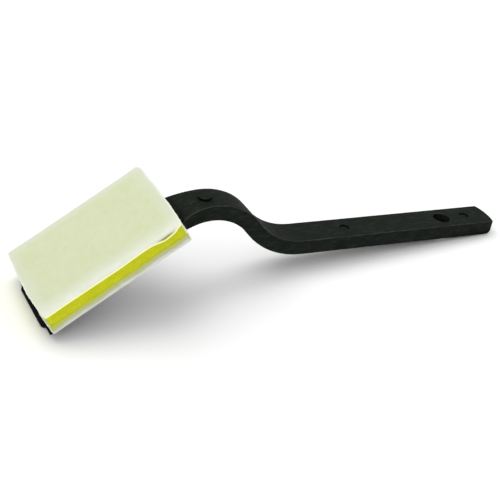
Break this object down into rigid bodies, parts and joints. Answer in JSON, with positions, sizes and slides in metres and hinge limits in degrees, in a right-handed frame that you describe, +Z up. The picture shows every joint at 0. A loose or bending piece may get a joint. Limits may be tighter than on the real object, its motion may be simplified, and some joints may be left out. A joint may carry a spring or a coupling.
{
  "type": "squeegee applicator",
  "caption": "Long-handled film applicator: gooseneck plastic handle with a hanging hole, its head plate carrying a flat foam pad wrapped in smooth nonwoven sheet.",
  "frame": {"origin": "centre of the bounding box's base, on the surface that the tool rests on", "axes": "+X from the head towards the hanging hole, +Z up with the tool lying on its plate tip and grip end, working face up"},
  "size_m": [0.288, 0.0594, 0.0562],
  "materials": {
    "handle_plastic": "fine moulded grain",
    "foam": "open-cell foam",
    "cover": "thin smooth nonwoven",
    "black_backing": "matt sheet",
    "tape": "adhesive tape",
    "bond": "clear adhesive film"
  },
  "bodies": {
    "root": {"handle": "handle_plastic", "mounting_tape": "tape", "backing_sheet": "black_backing", "foam_core": "foam", "cover_sheet": "cover", "base_strip": "bond", "start_strip": "bond", "free_strip": "bond"}
  },
  "joints": []
}
